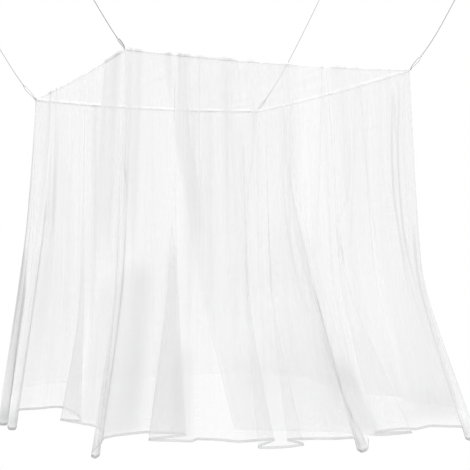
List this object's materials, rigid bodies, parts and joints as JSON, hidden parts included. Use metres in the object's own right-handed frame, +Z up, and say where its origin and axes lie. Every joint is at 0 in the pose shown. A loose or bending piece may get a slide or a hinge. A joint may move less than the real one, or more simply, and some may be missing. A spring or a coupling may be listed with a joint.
{
  "type": "mosquito net canopy",
  "caption": "Sheer white box-shaped bed net with a flat roof panel, taped roof edges and long walls that spread and fold at the foot, hung from its corners by tied cords.",
  "frame": {"origin": "middle of the roof, level with its corners, where the tied cords hold the canopy up", "axes": "+X along the near wall from its left corner to its right corner, +Y from the near wall to the far wall, +Z up"},
  "size_m": [3.06, 3.1409, 3.224],
  "materials": {
    "net": "matte sheer white net",
    "edge_tape": "matte woven white tape",
    "hanging_cord": "matte twisted white cord"
  },
  "bodies": {
    "root": {"roof_panel": "net", "tape_near": "edge_tape", "tape_far": "edge_tape", "tape_left": "edge_tape", "tape_right": "edge_tape", "wall_left": "net", "wall_near_outer": "net", "wall_near_inner": "net", "wall_right": "net", "wall_far": "net", "tab_near_left": "edge_tape", "tab_near_right": "edge_tape", "tab_far_right": "edge_tape", "tab_far_left": "edge_tape", "knot_near_left": "hanging_cord", "knot_near_right": "hanging_cord", "knot_far_right": "hanging_cord", "knot_far_left": "hanging_cord", "cord_near_left": "hanging_cord", "cord_near_right": "hanging_cord", "cord_far_right": "hanging_cord", "cord_far_left": "hanging_cord", "end_knot_near_left": "hanging_cord", "end_knot_near_right": "hanging_cord", "end_knot_far_right": "hanging_cord", "end_knot_far_left": "hanging_cord", "end_loop_near_left": "hanging_cord", "end_loop_near_right": "hanging_cord", "end_loop_far_right": "hanging_cord", "end_loop_far_left": "hanging_cord"}
  },
  "joints": []
}
